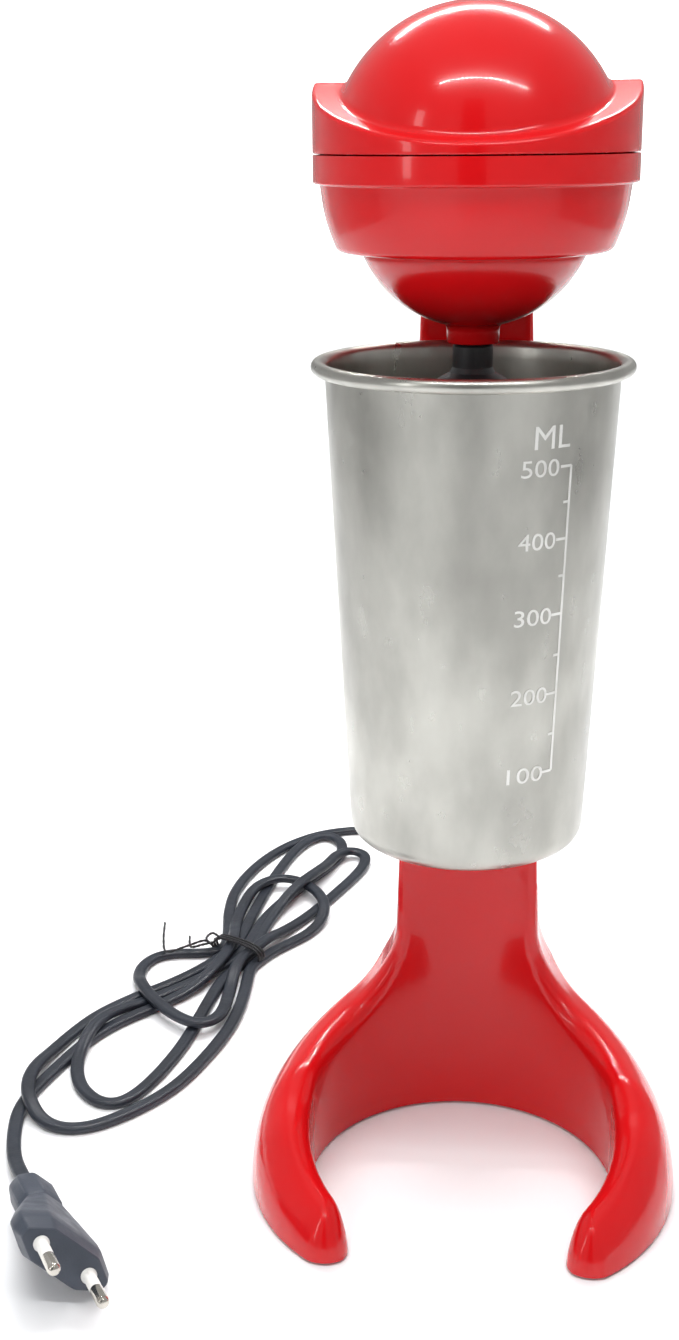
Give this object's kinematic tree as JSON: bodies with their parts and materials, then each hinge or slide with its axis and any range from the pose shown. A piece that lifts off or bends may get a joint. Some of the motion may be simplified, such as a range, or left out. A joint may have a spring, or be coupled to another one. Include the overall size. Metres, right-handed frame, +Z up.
{
  "type": "milkshake mixer",
  "caption": "Small drink mixer with a ball-shaped motor head on a horseshoe stand, a hanging steel cup round its mixing rod, and a tied mains lead.",
  "frame": {"origin": "on the table, under the middle of the mixer's footprint with the cord left out", "axes": "+Z up the column; -Y towards the open front of the horseshoe; +X to the right seen from the front"},
  "size_m": [0.2318, 0.3845, 0.3667],
  "materials": {
    "red_plastic": "high gloss",
    "black_plastic": "satin",
    "black_gloss": "glossy",
    "rubber": "matt",
    "zinc_steel": "plated",
    "spring_steel": "satin",
    "bronze": "sintered",
    "ferrite": "matt",
    "carbon": "matt",
    "board": "satin",
    "capacitor_yellow": "semi gloss",
    "brass": "plain",
    "black_cord": "satin",
    "black_tie": "satin",
    "plug_black": "satin",
    "sleeve_white": "satin",
    "nickel": "bright",
    "lamination": "lacquered",
    "copper_wire": "enamelled",
    "copper": "turned",
    "wire_insulation": "satin",
    "steel_rod": "bright",
    "steel_cup": "brushed"
  },
  "bodies": {
    "root": {"stand_shell": "red_plastic", "stand_back_cover": "red_plastic", "base_plate": "black_plastic", "rubber_feet": "rubber", "base_screws": "zinc_steel", "back_cover_screws": "zinc_steel", "cup_clip": "spring_steel", "clip_screw": "zinc_steel", "head_lower_shell": "red_plastic", "head_upper_shell": "red_plastic", "head_screws": "zinc_steel", "neck_screws": "zinc_steel", "motor_cushion": "rubber", "motor_can": "zinc_steel", "lower_bush": "bronze", "motor_magnets": "ferrite", "motor_end_cap": "black_plastic", "upper_bush": "bronze", "motor_brushes": "carbon", "motor_strap": "zinc_steel", "motor_screws": "zinc_steel", "rectifier_board": "board", "rectifier_diodes": "black_plastic", "suppression_capacitor": "capacitor_yellow", "shaft_seal": "rubber", "switch_body": "black_plastic", "switch_terminals": "brass", "strain_relief": "black_cord", "inner_cord": "black_cord", "cord_clamp": "black_plastic", "cord_clamp_screws": "zinc_steel", "motor_leads": "wire_insulation", "cord_lead": "black_cord", "cord_tail": "black_cord", "cord_bundle": "black_cord", "cord_tie": "black_tie", "plug_body": "plug_black", "plug_sleeves": "sleeve_white", "plug_pins": "nickel"},
    "spindle": {"motor_shaft": "zinc_steel", "armature_core": "lamination", "armature_windings": "copper_wire", "commutator": "copper", "rod_coupling": "black_plastic", "mixing_rod": "steel_rod", "agitator": "steel_rod"},
    "cup": {"cup": "steel_cup"},
    "rocker": {"rocker_button": "black_gloss"}
  },
  "joints": [
    {"name": "spindle_spin", "type": "hinge", "parent": "root", "child": "spindle", "pos_m": [0, -0.013, 0.2], "axis": [0, 0, 1], "continuous": true},
    {"name": "cup_slide", "type": "slide", "parent": "root", "child": "cup", "axis": [0, 0, -1], "range_m": [0, 0.125], "deforming": ["cup_clip"]},
    {"name": "rocker_tilt", "type": "hinge", "parent": "root", "child": "rocker", "pos_m": [0, 0.0518, 0.283], "axis": [1, 0, 0], "range_deg": [-20, 0]}
  ]
}
